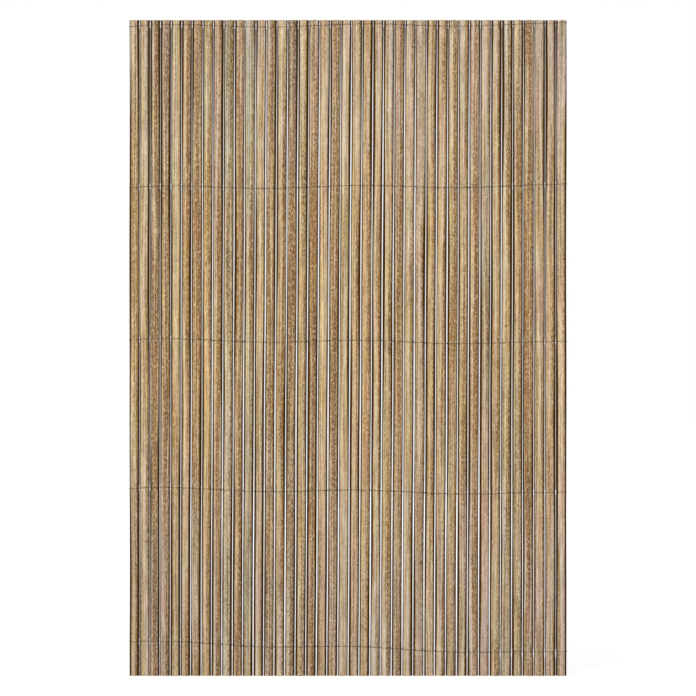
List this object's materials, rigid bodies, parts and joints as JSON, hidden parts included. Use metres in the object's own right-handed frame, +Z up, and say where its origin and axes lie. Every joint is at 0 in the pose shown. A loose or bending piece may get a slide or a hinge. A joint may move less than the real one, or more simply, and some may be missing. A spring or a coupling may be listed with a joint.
{
  "type": "plastic wicker privacy screen",
  "caption": "Length of woven privacy screen: upright hollow plastic rods that imitate wicker, held side by side by rows of twined wire.",
  "frame": {"origin": "on the ground, under the middle of the mat's width and thickness", "axes": "+Z up along the rods, +X to the right across the mat, the front faces -Y"},
  "size_m": [0.2864, 0.0054, 0.4284],
  "materials": {
    "wicker_plastic": "satin, streaked beige, gold and brown along the rod, with a fine grain",
    "tie_wire": "dull galvanised, weathered dark"
  },
  "bodies": {
    "root": {"rod_01": "wicker_plastic", "rod_02": "wicker_plastic", "rod_03": "wicker_plastic", "rod_04": "wicker_plastic", "rod_05": "wicker_plastic", "rod_06": "wicker_plastic", "rod_07": "wicker_plastic", "rod_08": "wicker_plastic", "rod_09": "wicker_plastic", "rod_10": "wicker_plastic", "rod_11": "wicker_plastic", "rod_12": "wicker_plastic", "rod_13": "wicker_plastic", "rod_14": "wicker_plastic", "rod_15": "wicker_plastic", "rod_16": "wicker_plastic", "rod_17": "wicker_plastic", "rod_18": "wicker_plastic", "rod_19": "wicker_plastic", "rod_20": "wicker_plastic", "rod_21": "wicker_plastic", "rod_22": "wicker_plastic", "rod_23": "wicker_plastic", "rod_24": "wicker_plastic", "rod_25": "wicker_plastic", "rod_26": "wicker_plastic", "rod_27": "wicker_plastic", "rod_28": "wicker_plastic", "rod_29": "wicker_plastic", "rod_30": "wicker_plastic", "rod_31": "wicker_plastic", "rod_32": "wicker_plastic", "rod_33": "wicker_plastic", "rod_34": "wicker_plastic", "rod_35": "wicker_plastic", "rod_36": "wicker_plastic", "rod_37": "wicker_plastic", "rod_38": "wicker_plastic", "rod_39": "wicker_plastic", "rod_40": "wicker_plastic", "rod_41": "wicker_plastic", "row_1_wire_a": "tie_wire", "row_1_wire_b": "tie_wire", "row_2_wire_a": "tie_wire", "row_2_wire_b": "tie_wire", "row_3_wire_a": "tie_wire", "row_3_wire_b": "tie_wire", "row_4_wire_a": "tie_wire", "row_4_wire_b": "tie_wire", "row_5_wire_a": "tie_wire", "row_5_wire_b": "tie_wire"}
  },
  "joints": []
}
